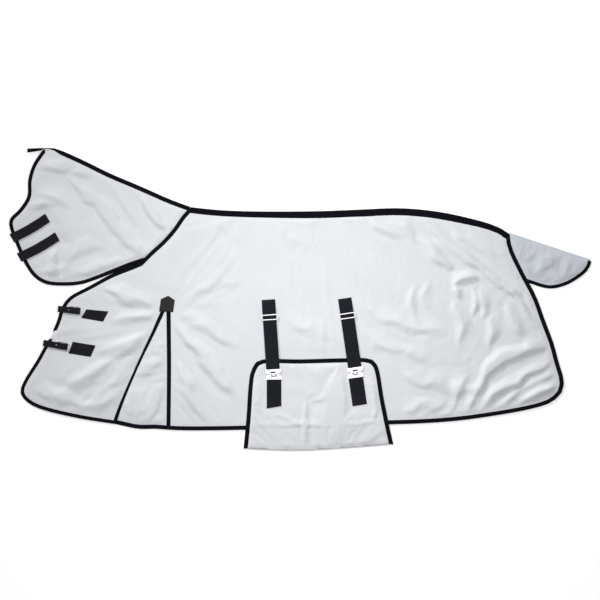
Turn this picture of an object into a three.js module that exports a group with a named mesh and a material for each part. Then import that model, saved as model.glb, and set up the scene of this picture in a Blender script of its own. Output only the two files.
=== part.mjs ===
// A combo fly sheet for a horse: body sheet, attached neck cover, tail flap and belly flap.
// It lies flat, folded in half along the spine with the near (left) side up.
// Millimetres. +X runs from the head to the tail, +Y from the belly to the spine, +Z is up.
// The origin is the middle of the footprint, on the surface that the sheet lies on.

import * as THREE from 'three';

// Driving dimensions
const CLOTH = 2;                  // thickness of one layer of cloth
const SEAM_GAP = 0.3;             // gap between pieces that are sewn edge to edge
const LAYER_GAP = 0.3;            // gap between layers that lie on each other
const BINDING_RISE = 0.4;         // how far a binding stands above its cloth
const GROUND_CLEARANCE = 0.3;     // the lowest bindings stay this far off the ground
const HEM_BINDING = 14;           // visible width of the bound hems
const EDGE_BINDING = 12;          // width of the binding on the thinner edges
const SPINE_BAND = 21;            // width of the doubled tape along the spine
const TAPE = 1.2;                 // thickness of light tape and gussets
const SURCINGLE_WIDTH = 50;       // belly strap webbing
const SURCINGLE_THICKNESS = 2;
const CHEST_STRAP_WIDTH = 23;
const NECK_STRAP_WIDTH = 35;
const STRAP_THICKNESS = 1.5;
const PLATE = 1.6;                // pressed steel of the hooks and catches
const SLIT_TOP_EDGE = 1;          // turned edge at the top of the chest slit
const FOLD_EDGE = 2;              // rounding of the belly flap's lower fold

// Heights of the layers, from the ground up
const OFF_BOTTOM = 0;
const OFF_TOP = OFF_BOTTOM + CLOTH;
const OFF_BOUND_BOTTOM = OFF_BOTTOM + GROUND_CLEARANCE;
const OFF_GUSSET = OFF_TOP + LAYER_GAP;
const NEAR_GUSSET = OFF_GUSSET + TAPE + LAYER_GAP;
const NEAR_BOTTOM = NEAR_GUSSET + TAPE + LAYER_GAP;
const NEAR_TOP = NEAR_BOTTOM + CLOTH;
const NEAR_BOUND_TOP = NEAR_TOP + BINDING_RISE;
const FLAP_BOTTOM = NEAR_BOUND_TOP + LAYER_GAP;
const FLAP_TOP = FLAP_BOTTOM + CLOTH;
const FLAP_BOUND_TOP = FLAP_TOP + BINDING_RISE;
const STRAP_BOTTOM = FLAP_BOUND_TOP + LAYER_GAP;
const STRAP_TOP = STRAP_BOTTOM + SURCINGLE_THICKNESS;

const finish = (color, roughness, metalness) =>
  new THREE.MeshStandardMaterial({ color, roughness, metalness });
const meshCloth = finish(0xe6e9ee, 0.75, 0);
const satinCloth = finish(0xc9cfd8, 0.5, 0);
const blackBinding = finish(0x15161d, 0.8, 0);
const blackWebbing = finish(0x1d1e24, 0.75, 0);
const leatherPatch = finish(0x2b2b2e, 0.6, 0);
const brightSteel = finish(0xc8cacd, 0.25, 1);

const flySheet = new THREE.Group();

// Plan geometry. Every outline runs clockwise seen from above, so its inside is on its right.

const smooth = (points, pieces) =>
  new THREE.SplineCurve(points.map(([x, y]) => new THREE.Vector2(x, y))).getSpacedPoints(pieces);

const straight = points => points.map(([x, y]) => new THREE.Vector2(x, y));

const rightOf = direction => new THREE.Vector2(direction.y, -direction.x);

function offsetLine(line, distance) {
  return line.map((corner, i) => {
    const into = corner.clone().sub(line[Math.max(i - 1, 0)]).normalize();
    const out = line[Math.min(i + 1, line.length - 1)].clone().sub(corner).normalize();
    const side = rightOf(into.clone().add(out).normalize());
    const leg = rightOf(out.lengthSq() > 0 ? out : into);
    return corner.clone().addScaledVector(side, distance / side.dot(leg));
  });
}

function crossing(a, b, c, d) {
  const along = b.clone().sub(a);
  const across = d.clone().sub(c);
  const scale = along.cross(across);
  if (scale === 0) return null;
  const start = c.clone().sub(a);
  const s = start.cross(across) / scale;
  const t = start.cross(along) / scale;
  return s >= 0 && s <= 1 && t >= 0 && t <= 1 ? a.clone().addScaledVector(along, s) : null;
}

// Cuts two neighbouring lines back, or carries them on, to the point where they meet.
function join(first, second) {
  const reach = 80;
  const last = first.length - 1;
  const ahead = first[last].clone().sub(first[last - 1]).setLength(reach).add(first[last]);
  const behind = second[0].clone().sub(second[1]).setLength(reach).add(second[0]);
  const one = [...first.slice(0, last), ahead];
  const two = [behind, ...second.slice(1)];
  for (let i = one.length - 2; i >= 0; i--) {
    for (let j = 0; j < two.length - 1; j++) {
      const corner = crossing(one[i], one[i + 1], two[j], two[j + 1]);
      if (corner) return [[...one.slice(0, i + 1), corner], [corner, ...two.slice(j + 1)]];
    }
  }
  throw new Error('two edges of an outline do not meet');
}

// Splits an outline into a panel and the border of each of its edges.
function divide(edges) {
  const inner = edges.map(edge => offsetLine(edge.line, edge.border));
  edges.forEach((_, i) => {
    const next = (i + 1) % edges.length;
    [inner[i], inner[next]] = join(inner[i], inner[next]);
  });
  return {
    panel: inner.flatMap(line => line.slice(0, -1)),
    borders: edges.map((edge, i) => [...edge.line, ...inner[i].slice().reverse()]),
  };
}

// Draws a closed outline in by a small distance, which leaves a sewn gap to its neighbours.
function drawnIn(outline, distance) {
  const clockwise = THREE.ShapeUtils.area(outline) < 0;
  const points = (clockwise ? outline : outline.slice().reverse())
    .filter((corner, i, all) => corner.distanceTo(all[(i + 1) % all.length]) > 0.01);
  const loop = [points[points.length - 1], ...points, points[0]];
  return offsetLine(loop, distance).slice(1, -1);
}

function place(parent, name, material, geometry, height = 0) {
  const mesh = new THREE.Mesh(geometry, material);
  mesh.name = name;
  mesh.position.z = height;
  parent.add(mesh);
  return mesh;
}

// A solid of even thickness. Its outline is turned anticlockwise, so that its holes are cut as holes.
function slab(outline, thickness, holes = []) {
  const clockwise = THREE.ShapeUtils.isClockWise(outline);
  const shape = new THREE.Shape(clockwise ? outline.slice().reverse() : outline);
  holes.forEach(hole => shape.holes.push(new THREE.Path(hole)));
  return new THREE.ExtrudeGeometry(shape, { depth: thickness, bevelEnabled: false });
}

function layer(parent, name, material, outline, bottom, top, holes = []) {
  return place(parent, name, material, slab(outline, top - bottom, holes), bottom);
}

const sewn = outline => drawnIn(outline, SEAM_GAP / 2);

function roundedBox(width, height, radius, centreY = 0) {
  const outline = new THREE.Path();
  const right = width / 2;
  const top = centreY + height / 2;
  const bottom = centreY - height / 2;
  outline.absarc(right - radius, bottom + radius, radius, -Math.PI / 2, 0);
  outline.absarc(right - radius, top - radius, radius, 0, Math.PI / 2);
  outline.absarc(radius - right, top - radius, radius, Math.PI / 2, Math.PI);
  outline.absarc(radius - right, bottom + radius, radius, Math.PI, 1.5 * Math.PI);
  return outline.getPoints(4);
}

function rectangle(left, right, bottom, top) {
  return straight([[left, bottom], [left, top], [right, top], [right, bottom]]);
}

// Edges of the body, clockwise from the withers

const withers = [-404, 340];
const tailHead = [775, 240];
const chestTop = [-592, 134];
const slitHeight = -42;

const spine = smooth([withers, [-296, 329], [-150, 324], [60, 325], [222, 331], [370, 336], [518, 322],
  [666, 289], [740, 263], tailHead], 30);
const slitRearFoot = [-494, -483];
const slitFrontFoot = [-680, -463];
const rearAndHem = smooth([tailHead, [784, 188], [826, 99], [873, 10], [906, -80], [937, -162], [956, -233],
  [975, -298], [968, -345], [925, -384], [851, -407], [740, -428], [592, -449], [444, -460], [260, -466],
  [0, -476], [-222, -484], [-407, -486], slitRearFoot], 64);
const slitRear = smooth([slitRearFoot, [-492, -260], [-494, slitHeight]], 8);
const slitTop = straight([[-494, slitHeight], [-498, slitHeight]]);
const slitFront = smooth([[-498, slitHeight], [-535, -122], [-579, -211], [-619, -300], [-655, -388],
  slitFrontFoot], 10);
const gussetHem = smooth([slitRearFoot, [-540, -480], [-600, -480], slitFrontFoot], 8);
const frontHemAndChest = smooth([slitFrontFoot, [-814, -442], [-947, -411], [-1008, -382], [-1034, -345],
  [-1018, -298], [-976, -231], [-948, -180], [-921, -132], [-898, -80], [-884, -35], [-851, 9], [-777, 49],
  [-703, 89], [-629, 119], chestTop], 48);
const neckSeam = smooth([chestTop, [-555, 171], [-507, 215], [-468, 259], [-437, 304], withers], 12);

const bodyEdges = [
  { name: 'spine', line: spine, border: SPINE_BAND },
  { name: 'hem_binding', line: rearAndHem, border: HEM_BINDING },
  { name: 'slit_binding_rear', line: slitRear, border: HEM_BINDING },
  { name: 'slit_top', line: slitTop, border: SLIT_TOP_EDGE },
  { name: 'slit_binding_front', line: slitFront, border: EDGE_BINDING },
  { name: 'front_binding', line: frontHemAndChest, border: EDGE_BINDING },
  { name: 'neck_seam_binding', line: neckSeam, border: EDGE_BINDING },
];

function bodySide(side, bottom, boundBottom, boundTop, gussetBottom) {
  const { panel, borders } = divide(bodyEdges);
  layer(flySheet, `${side}_body_panel`, meshCloth, sewn(panel), bottom, bottom + CLOTH);
  bodyEdges.forEach(({ name }, i) => {
    if (name.endsWith('binding') || name.startsWith('slit_binding')) {
      layer(flySheet, `${side}_${name}`, blackBinding, sewn(borders[i]), boundBottom, boundTop);
    }
  });
  const gusset = divide([
    { line: slitRear.slice().reverse().slice(0, -1), border: -HEM_BINDING / 2 },
    { line: gussetHem, border: HEM_BINDING },
    { line: slitFront.slice().reverse(), border: -HEM_BINDING / 2 },
    { line: slitTop.slice().reverse(), border: -HEM_BINDING / 2 },
  ]);
  layer(flySheet, `${side}_gusset_panel`, meshCloth, sewn(gusset.panel), gussetBottom, gussetBottom + TAPE);
  layer(flySheet, `${side}_gusset_binding`, blackBinding, sewn(gusset.borders[1]), gussetBottom,
    gussetBottom + TAPE);
}

bodySide('off', OFF_BOTTOM, OFF_BOUND_BOTTOM, OFF_TOP, OFF_GUSSET);
bodySide('near', NEAR_BOTTOM, NEAR_BOTTOM, NEAR_BOUND_TOP, NEAR_GUSSET);
layer(flySheet, 'spine_band', blackBinding, sewn(divide(bodyEdges).borders[0]), OFF_BOTTOM, NEAR_BOUND_TOP);

const gussetPatch = straight([[-487, 12], [-463, -4], [-469, -48], [-521, -46], [-514, 0]]);
layer(flySheet, 'gusset_patch', leatherPatch, gussetPatch, NEAR_BOUND_TOP + LAYER_GAP,
  NEAR_BOUND_TOP + LAYER_GAP + TAPE);

// Neck cover, which folds back over the body along its seam

const neck = new THREE.Group();
flySheet.add(neck);

const poll = [-946, 558];
const neckSeamStart = [withers[0] - 1, withers[1] + 1];
const crest = smooth([poll, [-902, 556], [-814, 519], [-703, 465], [-592, 418], [-481, 369],
  neckSeamStart], 16);
const openEdge = smooth([chestTop, [-629, 121.5], [-703, 92], [-750, 73], [-814, 53], [-888, 49],
  [-945, 57], [-990, 88], [-1025, 144], [-1054, 211], [-1073, 262], [-1073, 296],
  [-1038, 332], [-1008, 380], [-1005, 440],
  [-986, 500], poll], 56);

const neckEdges = [
  { line: crest, border: HEM_BINDING },
  { line: neckSeam.slice().reverse(), border: 0 },
  { line: openEdge, border: EDGE_BINDING },
];

function neckSide(side, bottom, boundBottom, boundTop) {
  const { panel, borders } = divide(neckEdges);
  layer(neck, `neck_${side}_panel`, meshCloth, sewn(panel), bottom, bottom + CLOTH);
  layer(neck, `neck_${side}_binding`, blackBinding, sewn(borders[2]), boundBottom, boundTop);
}

neckSide('off', OFF_BOTTOM, OFF_BOUND_BOTTOM, OFF_TOP);
neckSide('near', NEAR_BOTTOM, NEAR_BOTTOM, NEAR_BOUND_TOP);
layer(neck, 'neck_crest_binding', blackBinding, sewn(divide(neckEdges).borders[0]), OFF_BOTTOM,
  NEAR_BOUND_TOP);
const pollTab = straight([[-1008, 541], [-1008, 556], [-947, 558.5], [-955, 549]]);
layer(neck, 'poll_tab', blackBinding, pollTab, NEAR_BOTTOM, NEAR_BOTTOM + TAPE);

// A strap that comes round a front edge from the off side. Its root stays at the edge, and the strap
// turns back about its top. Its own x runs along the strap, from the edge inwards.

const WRAP = 1.5;                 // thickness of webbing where it turns round an edge

function edgeStrap(parent, name, [edgeX, edgeY], turn, { width, length, bottom }) {
  const fitting = new THREE.Group();
  fitting.position.set(edgeX, edgeY, 0);
  fitting.rotation.z = THREE.MathUtils.degToRad(turn);
  parent.add(fitting);
  const half = width / 2;
  const top = bottom + STRAP_THICKNESS;
  layer(fitting, `${name}_root`, blackWebbing,
    rectangle(-2 * WRAP, -WRAP, -half, half), GROUND_CLEARANCE, top);
  layer(fitting, name, blackWebbing, rectangle(-WRAP + SEAM_GAP, length, -half, half), bottom, top);
  return fitting;
}

// Hook-and-loop straps that close the neck cover, each over its loop patch

function neckStrap(level, edge, turn, length) {
  const patchBottom = NEAR_TOP + LAYER_GAP;
  const bottom = NEAR_BOUND_TOP + TAPE + 2 * LAYER_GAP;
  const half = NECK_STRAP_WIDTH / 2;
  const border = 4;
  const loopStart = 0.45 * length;
  const loopEnd = length - 2 * border;
  const strap = edgeStrap(neck, `neck_strap_${level}`, edge, turn,
    { width: NECK_STRAP_WIDTH, length, bottom });
  layer(strap, `neck_strap_${level}_loop_patch`, blackWebbing,
    rectangle(loopStart, loopEnd, border - half, half - border), patchBottom, patchBottom + TAPE);
}

neckStrap('upper', [-1061, 226], 30, 148);
neckStrap('lower', [-1034, 155], 29, 157);

// Tail flap, which folds back over the rump along its seam

const tail = new THREE.Group();
flySheet.add(tail);

const tailSeamFoot = 45;
const tailSeam = offsetLine(rearAndHem.filter(corner => corner.y > tailSeamFoot), -SEAM_GAP).reverse();
const tailTop = tailSeam[tailSeam.length - 1].toArray();
const tailEdges = [
  { line: straight([tailTop, [1078, 139]]), border: 0 },
  { line: smooth([[1078, 139], [1068, 112], [1043, 86], [987, 52], [921, 38], tailSeam[0].toArray()], 14),
    border: EDGE_BINDING },
  { line: tailSeam, border: 0 },
];
const tailParts = divide(tailEdges);
layer(tail, 'tail_flap_panel', satinCloth, sewn(tailParts.panel), OFF_BOTTOM, NEAR_TOP);
layer(tail, 'tail_flap_binding', blackBinding, sewn(tailParts.borders[1]), OFF_BOUND_BOTTOM, NEAR_BOUND_TOP);

// Belly wrap: a band from the off side's hem, and the flap that folds up from it over the near side

const foldLine = smooth([[-209, -553], [15, -560], [345, -537]], 10);
const hemAbove = smooth([[-190, -485.5], [0, -478.5], [324, -467.5]], 8);
layer(flySheet, 'belly_band', meshCloth,
  [...hemAbove, ...foldLine.slice().reverse()], OFF_BOTTOM, OFF_TOP);

const flap = new THREE.Group();
flySheet.add(flap);
const flapSides = smooth([[-209, -553], [-198, -440], [-190, -322], [-179, -262], [-142, -224], [0, -223],
  [150, -219], [252, -220], [288, -250], [309, -366], [327, -455], [345, -537]], 40);
const flapParts = divide([
  { line: flapSides, border: HEM_BINDING },
  { line: foldLine.slice().reverse(), border: FOLD_EDGE },
]);
layer(flap, 'belly_flap_panel', meshCloth, sewn(flapParts.panel), FLAP_BOTTOM, FLAP_TOP);
layer(flap, 'belly_flap_binding', blackBinding, sewn(flapParts.borders[0]), FLAP_BOTTOM, FLAP_BOUND_TOP);

// Surcingles: webbing sewn to the near side at its top, with a slider and a hook,
// and a catch on a webbing tab that is sewn to the belly flap.

const anchorLength = 12;
const hookTop = -257;
const hookLength = 33;
const sliderY = -66;
const FITTING_WIDTH = 60;         // width of the hook's and the catch's plates
const CATCH_LENGTH = 26;

function surcingle(level, topX, topY, turn) {
  const strap = new THREE.Group();
  strap.position.set(topX, topY, 0);
  strap.rotation.z = THREE.MathUtils.degToRad(turn);
  flySheet.add(strap);
  const half = SURCINGLE_WIDTH / 2;
  layer(strap, `surcingle_${level}_anchor`, blackWebbing,
    rectangle(-half, half, -anchorLength, 0), NEAR_TOP + LAYER_GAP, STRAP_TOP);
  layer(strap, `surcingle_${level}_strap`, blackWebbing,
    rectangle(-half, half, hookTop + SEAM_GAP, -anchorLength - SEAM_GAP), STRAP_BOTTOM, STRAP_TOP);
  slider(strap, `surcingle_${level}_slider`);
  hook(strap, `surcingle_${level}_hook`);
}

// The slider is a frame round the webbing: two bars over it and a middle bar under it.
function slider(parent, name) {
  const bar = 4.5;
  const length = 22;
  const inside = SURCINGLE_WIDTH / 2 + 1;
  const rise = LAYER_GAP;
  const low = STRAP_BOTTOM - rise;
  const high = STRAP_TOP + rise;
  const section = rectangle(-inside - bar, inside + bar, low - PLATE, high + PLATE);
  const geometry = slab(section, length, [rectangle(-inside, inside, low, high)]);
  geometry.rotateX(Math.PI / 2);
  const mesh = place(parent, name, brightSteel, geometry);
  mesh.position.y = sliderY + length / 2;
}

// The hook is a plate with a narrow neck and a wide head that lies in the catch.
function hook(parent, name) {
  const shoulder = FITTING_WIDTH / 2;
  const neckHalf = 5;
  const head = 10;
  const plateLength = 14;
  const headLength = 10;
  const plateEnd = hookTop - plateLength;
  const headTop = hookTop - hookLength + headLength;
  const outline = straight([[-shoulder, hookTop], [shoulder, hookTop], [shoulder, plateEnd],
    [neckHalf, plateEnd], [neckHalf, headTop], [head, headTop], [head, hookTop - hookLength],
    [-head, hookTop - hookLength], [-head, headTop], [-neckHalf, headTop], [-neckHalf, plateEnd],
    [-shoulder, plateEnd]]);
  const bottom = FLAP_TOP + LAYER_GAP + PLATE + LAYER_GAP;
  layer(parent, name, brightSteel, outline, bottom, bottom + PLATE);
}

// The catch is a plate with a wide slot for the hook's head, on its webbing tab.
function catchAndTab(level, x, y, turn) {
  const fitting = new THREE.Group();
  fitting.position.set(x, y, 0);
  fitting.rotation.z = THREE.MathUtils.degToRad(turn);
  flap.add(fitting);
  const half = SURCINGLE_WIDTH / 2 + 2;
  const longSide = 107;
  const shortSide = 98;
  const slotWidth = 24;
  const slotHeight = 12;
  const bottom = FLAP_TOP + LAYER_GAP;
  layer(fitting, `surcingle_${level}_catch`, brightSteel,
    roundedBox(FITTING_WIDTH, CATCH_LENGTH, 4, CATCH_LENGTH / 2), bottom, bottom + PLATE,
    [roundedBox(slotWidth, slotHeight, 3, CATCH_LENGTH / 2)]);
  layer(fitting, `surcingle_${level}_tab`, blackWebbing,
    straight([[-half, -longSide], [-half, -SEAM_GAP], [half, -SEAM_GAP], [half, -shortSide]]), bottom,
    bottom + STRAP_THICKNESS);
}

surcingle('front', -117, -2, 3.8);
surcingle('rear', 165, 3, 8.3);
catchAndTab('front', -96, -297, 0);
catchAndTab('rear', 206, -290, 8.3);

// Chest fasteners: a strap that comes round the front edge from the off side to a buckle on a patch.
// The strap lies over the buckle's prong, whose tip comes up through it.

const BUCKLE_LENGTH = 50;
const BUCKLE_WIDTH = 33;
const BUCKLE_BAR = 5;
const PRONG_WIDTH = 3.2;

function chestFastener(level, patch, edge, turn, reach) {
  const patchBottom = NEAR_TOP + LAYER_GAP;
  const frameBottom = NEAR_TOP + LAYER_GAP;
  const prongBottom = frameBottom + PLATE + LAYER_GAP;
  layer(flySheet, `chest_patch_${level}`, blackWebbing, straight(patch), patchBottom, patchBottom + TAPE);
  const fastener = edgeStrap(flySheet, `chest_strap_${level}`, edge, turn, {
    width: CHEST_STRAP_WIDTH,
    length: reach + BUCKLE_LENGTH / 2 - BUCKLE_BAR,
    bottom: prongBottom + PLATE + LAYER_GAP,
  });
  const buckle = new THREE.Group();
  buckle.position.x = reach;
  fastener.add(buckle);
  const window = (BUCKLE_LENGTH - 3 * BUCKLE_BAR) / 2 + 1;
  const windowAt = x => roundedBox(window, BUCKLE_WIDTH - 2 * BUCKLE_BAR + 2, 2)
    .map(corner => corner.add(new THREE.Vector2(x, 0)));
  const windowMiddle = (window + BUCKLE_BAR) / 2;
  layer(buckle, `chest_buckle_frame_${level}`, brightSteel, roundedBox(BUCKLE_LENGTH, BUCKLE_WIDTH, 5),
    frameBottom, frameBottom + PLATE, [windowAt(-windowMiddle), windowAt(windowMiddle)]);
  layer(buckle, `chest_buckle_prong_${level}`, brightSteel,
    rectangle(1 - BUCKLE_LENGTH / 2, 0, -PRONG_WIDTH / 2, PRONG_WIDTH / 2), prongBottom, prongBottom + PLATE);
}

chestFastener('upper', [[-790, -38], [-708, -46], [-728, -84], [-809, -70]], [-890, -37], -6, 58);
chestFastener('lower', [[-840, -158], [-755, -172], [-774, -214], [-856, -201]], [-944, -163], -10, 66);

export default flySheet;
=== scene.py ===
"""The looks of a horse's combo fly sheet, folded flat along its spine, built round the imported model."""

import math

import bpy
import numpy as np
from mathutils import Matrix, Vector
from mathutils.bvhtree import BVHTree
from mathutils.geometry import delaunay_2d_cdt


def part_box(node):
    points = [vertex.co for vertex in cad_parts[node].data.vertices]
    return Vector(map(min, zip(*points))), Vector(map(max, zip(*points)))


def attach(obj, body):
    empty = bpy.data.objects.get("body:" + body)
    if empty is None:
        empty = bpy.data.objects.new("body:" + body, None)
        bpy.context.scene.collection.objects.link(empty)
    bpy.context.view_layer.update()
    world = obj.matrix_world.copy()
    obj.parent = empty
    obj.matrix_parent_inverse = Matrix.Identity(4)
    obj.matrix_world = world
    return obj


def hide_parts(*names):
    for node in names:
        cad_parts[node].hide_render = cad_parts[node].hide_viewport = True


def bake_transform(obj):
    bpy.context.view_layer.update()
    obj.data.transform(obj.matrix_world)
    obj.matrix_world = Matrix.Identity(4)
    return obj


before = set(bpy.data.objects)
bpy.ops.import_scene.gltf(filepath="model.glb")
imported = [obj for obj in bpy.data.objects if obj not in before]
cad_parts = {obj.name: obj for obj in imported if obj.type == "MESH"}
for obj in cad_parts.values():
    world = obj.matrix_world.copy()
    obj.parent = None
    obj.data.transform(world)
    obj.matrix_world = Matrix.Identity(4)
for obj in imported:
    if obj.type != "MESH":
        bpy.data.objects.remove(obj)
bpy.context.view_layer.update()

MM = 0.001
CLOTH = 0.6 * MM                # thickness of the cloth that shows
NEAR_LEVEL = 6.2 * MM           # height of the near side where it lies smooth
OFF_LEVEL = 1.4 * MM            # height of the off side
GUSSET_LEVEL = {"near": 4.3 * MM, "off": 2.9 * MM}
TAIL_LEVEL = 4.6 * MM
FLAP_LEVEL = 9.2 * MM           # height of the belly flap over the near side
FLAP_FOOT = 6.0 * MM            # height of the belly flap at its fold
BAND_LEVEL = 1.0 * MM           # height of the band under the belly flap
HIGHEST = 20 * MM               # no fold stands higher than this
TAPE = 1.5 * MM                 # thickness of folded binding tape
WEBBING = 1.7 * MM
FINE = 8 * MM                   # distance between points of the cloth that shows
COARSE = 22 * MM                # and of the cloth under it
UNDER_BINDING = 6 * MM          # how far cloth runs in under its binding
OVERLAP = 2.4 * MM              # how far a binding reaches over its cloth
KEPT = 0.4                      # share of each drawn fold that stays after the cloth has settled
SETTLING_FRAMES = 25


# Plan geometry, with points as arrays of (x, y) in metres

def node_outline(node):
    """The edge of a flat node's top face, anticlockwise."""
    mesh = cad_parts[node].data
    points = np.array([v.co for v in mesh.vertices])
    top = points[:, 2].max() - 1e-5
    place = [(round(float(x), 5), round(float(y), 5)) for x, y, _ in points]
    edges = set()
    for face in mesh.polygons:
        corners = list(face.vertices)
        if all(points[i][2] > top for i in corners):
            edges.update((place[a], place[b]) for a, b in zip(corners, corners[1:] + corners[:1]))
    follow = {a: b for a, b in edges if (b, a) not in edges}
    loop = [min(follow)]
    while follow[loop[-1]] != loop[0]:
        loop.append(follow[loop[-1]])
    return np.array(loop)


def unit(v):
    return v / np.maximum(np.linalg.norm(v, axis=-1, keepdims=True), 1e-12)


def left_of(v):
    return np.stack([-v[..., 1], v[..., 0]], axis=-1)


def closed(loop):
    return np.concatenate([loop, loop[:1]])


def grown(loop, distance):
    """An anticlockwise loop moved outwards, by one distance or by one for each point."""
    into = unit(loop - np.roll(loop, 1, axis=0))
    out = unit(np.roll(loop, -1, axis=0) - loop)
    side = unit(into + out)
    stretch = np.clip((side * out).sum(axis=1), 0.7, 1)
    return loop - left_of(side) * (distance / stretch)[:, None]


def measured(line):
    """How far along an open line each of its points is."""
    return np.concatenate([[0], np.cumsum(np.linalg.norm(np.diff(line, axis=0), axis=1))])


def resampled(line, count):
    """The same open line with evenly spaced points."""
    along = measured(line)
    wanted = np.linspace(0, along[-1], count)
    return np.stack([np.interp(wanted, along, line[:, k]) for k in range(line.shape[1])], axis=1)


def subdivided(loop, spacing):
    """The same closed loop, corners and all, with points no further apart than that."""
    points = []
    for a, b in zip(loop, np.roll(loop, -1, axis=0)):
        steps = max(1, math.ceil(np.linalg.norm(b - a) / spacing))
        points += [a + (b - a) * k / steps for k in range(steps)]
    return np.array(points)


def softened(line, count, rounds=2):
    """A line with its corners rounded off, evenly spaced."""
    line = np.asarray(line, float)
    for _ in range(rounds):
        cut = np.empty((2 * len(line) - 2, line.shape[1]))
        cut[0::2] = 0.75 * line[:-1] + 0.25 * line[1:]
        cut[1::2] = 0.25 * line[:-1] + 0.75 * line[1:]
        line = np.concatenate([line[:1], cut, line[-1:]])
    return resampled(line, count)


def distance_to(line, x, y):
    """Distance from each place to an open line, the side it is on, and its share of the way along."""
    here = np.stack([x, y], axis=-1)
    best = np.full(x.shape, 1e9)
    side = np.zeros(x.shape)
    share = np.zeros(x.shape)
    along = measured(line)
    for i in range(len(line) - 1):
        leg = line[i + 1] - line[i]
        t = np.clip(((here - line[i]) @ leg) / (leg @ leg), 0, 1)
        gap = here - (line[i] + t[..., None] * leg)
        d = np.hypot(gap[..., 0], gap[..., 1])
        nearer = d < best
        best = np.where(nearer, d, best)
        side = np.where(nearer, np.sign(leg[0] * gap[..., 1] - leg[1] * gap[..., 0]), side)
        share = np.where(nearer, (along[i] + t * (along[i + 1] - along[i])) / along[-1], share)
    return best, side, share


def inside(loop, x, y):
    within = np.zeros(x.shape, bool)
    for (ax, ay), (bx, by) in zip(loop, np.roll(loop, -1, axis=0)):
        if ay != by:
            within ^= ((ay > y) != (by > y)) & (x < (bx - ax) * (y - ay) / (by - ay) + ax)
    return within


def tape_sides(node, panel):
    """The outer and inner side of a strip of tape, running the same way. The inner one is at the panel."""
    loop = node_outline(node)
    into = unit(loop - np.roll(loop, 1, axis=0))
    out = unit(np.roll(loop, -1, axis=0) - loop)
    sharp = (into * out).sum(axis=1) < 0.75
    ends = []
    for i in np.flatnonzero(sharp):
        if sharp[(i + 1) % len(loop)]:
            ends.append((i, i + 1))
        elif not sharp[i - 1]:
            ends.append((i, i))
    (first, one_start), (one_end, other_start) = ends[:2]
    one = loop[np.arange(one_start, one_end + 1) % len(loop)]
    other = loop[np.arange(other_start, first + len(loop) + 1) % len(loop)][::-1]
    edge = closed(node_outline(panel))
    gaps = [distance_to(edge, side[:, 0], side[:, 1])[0].mean() for side in (one, other)]
    return (one, other) if gaps[0] > gaps[1] else (other, one)


class Lie:
    """Where a straight flat node lies: its start, its direction, and its length and width."""

    def __init__(self, node, towards):
        loop = node_outline(node)
        legs = np.roll(loop, -1, axis=0) - loop
        along = unit(legs[np.linalg.norm(legs, axis=1).argmax()])
        if along @ towards < 0:
            along = -along
        across = left_of(along)
        u, v = loop @ along, loop @ across
        self.along, self.across = along, across
        self.length, self.width = np.ptp(u), np.ptp(v)
        self.start = along * u.min() + across * (v.min() + v.max()) / 2
        self.bottom, self.top = (corner.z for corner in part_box(node))

    def at(self, u, v=0.0):
        """The plan place that far along and that far to the left."""
        u, v = np.broadcast_arrays(np.asarray(u, float), np.asarray(v, float))
        return self.start + u[..., None] * self.along + v[..., None] * self.across

    def point(self, u, v, z):
        return np.append(self.at(u, v), z)


# Uneven surfaces

def smooth_step(t):
    t = np.clip(t, 0, 1)
    return t * t * (3 - 2 * t)


def value_noise(x, y, cell, seed):
    """Smooth random height between -1 and 1 over cells of that size."""
    size = 256
    grid = np.random.RandomState(seed).uniform(-1, 1, (size, size))
    u, v = x / cell + 100, y / cell + 100
    i, j = np.floor(u).astype(int), np.floor(v).astype(int)
    fu, fv = u - i, v - j
    fu, fv = fu * fu * fu * (fu * (6 * fu - 15) + 10), fv * fv * fv * (fv * (6 * fv - 15) + 10)
    at = lambda a, b: grid[a % size, b % size]
    low = at(i, j) * (1 - fu) + at(i + 1, j) * fu
    high = at(i, j + 1) * (1 - fu) + at(i + 1, j + 1) * fu
    return low * (1 - fv) + high * fv


def fold_height(folds, x, y, seed):
    """The folds' height above smooth cloth, with their ends fading out."""
    total = np.zeros(x.shape)
    for k, (points, height, half_width, sharp) in enumerate(folds):
        line = softened(np.array(points) * MM, 14)
        wander = half_width * MM * 0.5 * value_noise(x, y, 0.05, seed + k)
        distance, side, share = distance_to(line, x, y)
        signed = distance * side + wander
        lean = np.where(signed > 0, 1.25, 0.8)
        width = half_width * MM * lean * (0.75 + 0.5 * np.sin(math.pi * np.clip(share, 0, 1)))
        p = signed / width
        soft = np.exp(-p * p)
        crisp = np.exp(-1.7 * (np.sqrt(p * p + 0.03) - 0.173))
        ends = np.sin(math.pi * np.clip(share * 0.92 + 0.04, 0, 1)) ** 0.7
        valley = 0.35 * np.exp(-((np.abs(p) - 1.7) ** 2) * 2)
        total += height * MM * ends * (soft * (1 - sharp) + crisp * sharp - valley)
    return total


def rumple(x, y, seed):
    """Small uneven waves all over the cloth."""
    bend_x = x + 0.05 * value_noise(x, y, 0.13, seed) + 0.02 * value_noise(x, y, 0.05, seed + 1)
    bend_y = y + 0.05 * value_noise(x, y, 0.13, seed + 2) + 0.02 * value_noise(x, y, 0.05, seed + 3)
    waves = 1.3 * value_noise(bend_x, bend_y, 0.17, seed + 4)
    creases = 1 - 2 * np.abs(value_noise(bend_x * 1.5, bend_y, 0.085, seed + 5))
    fine = 1 - 2 * np.abs(value_noise(bend_x, bend_y * 1.6, 0.04, seed + 6))
    where = 0.5 + 0.5 * value_noise(x, y, 0.25, seed + 7)
    return MM * (waves + 1.1 * creases * where + 0.45 * fine * where)


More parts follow.
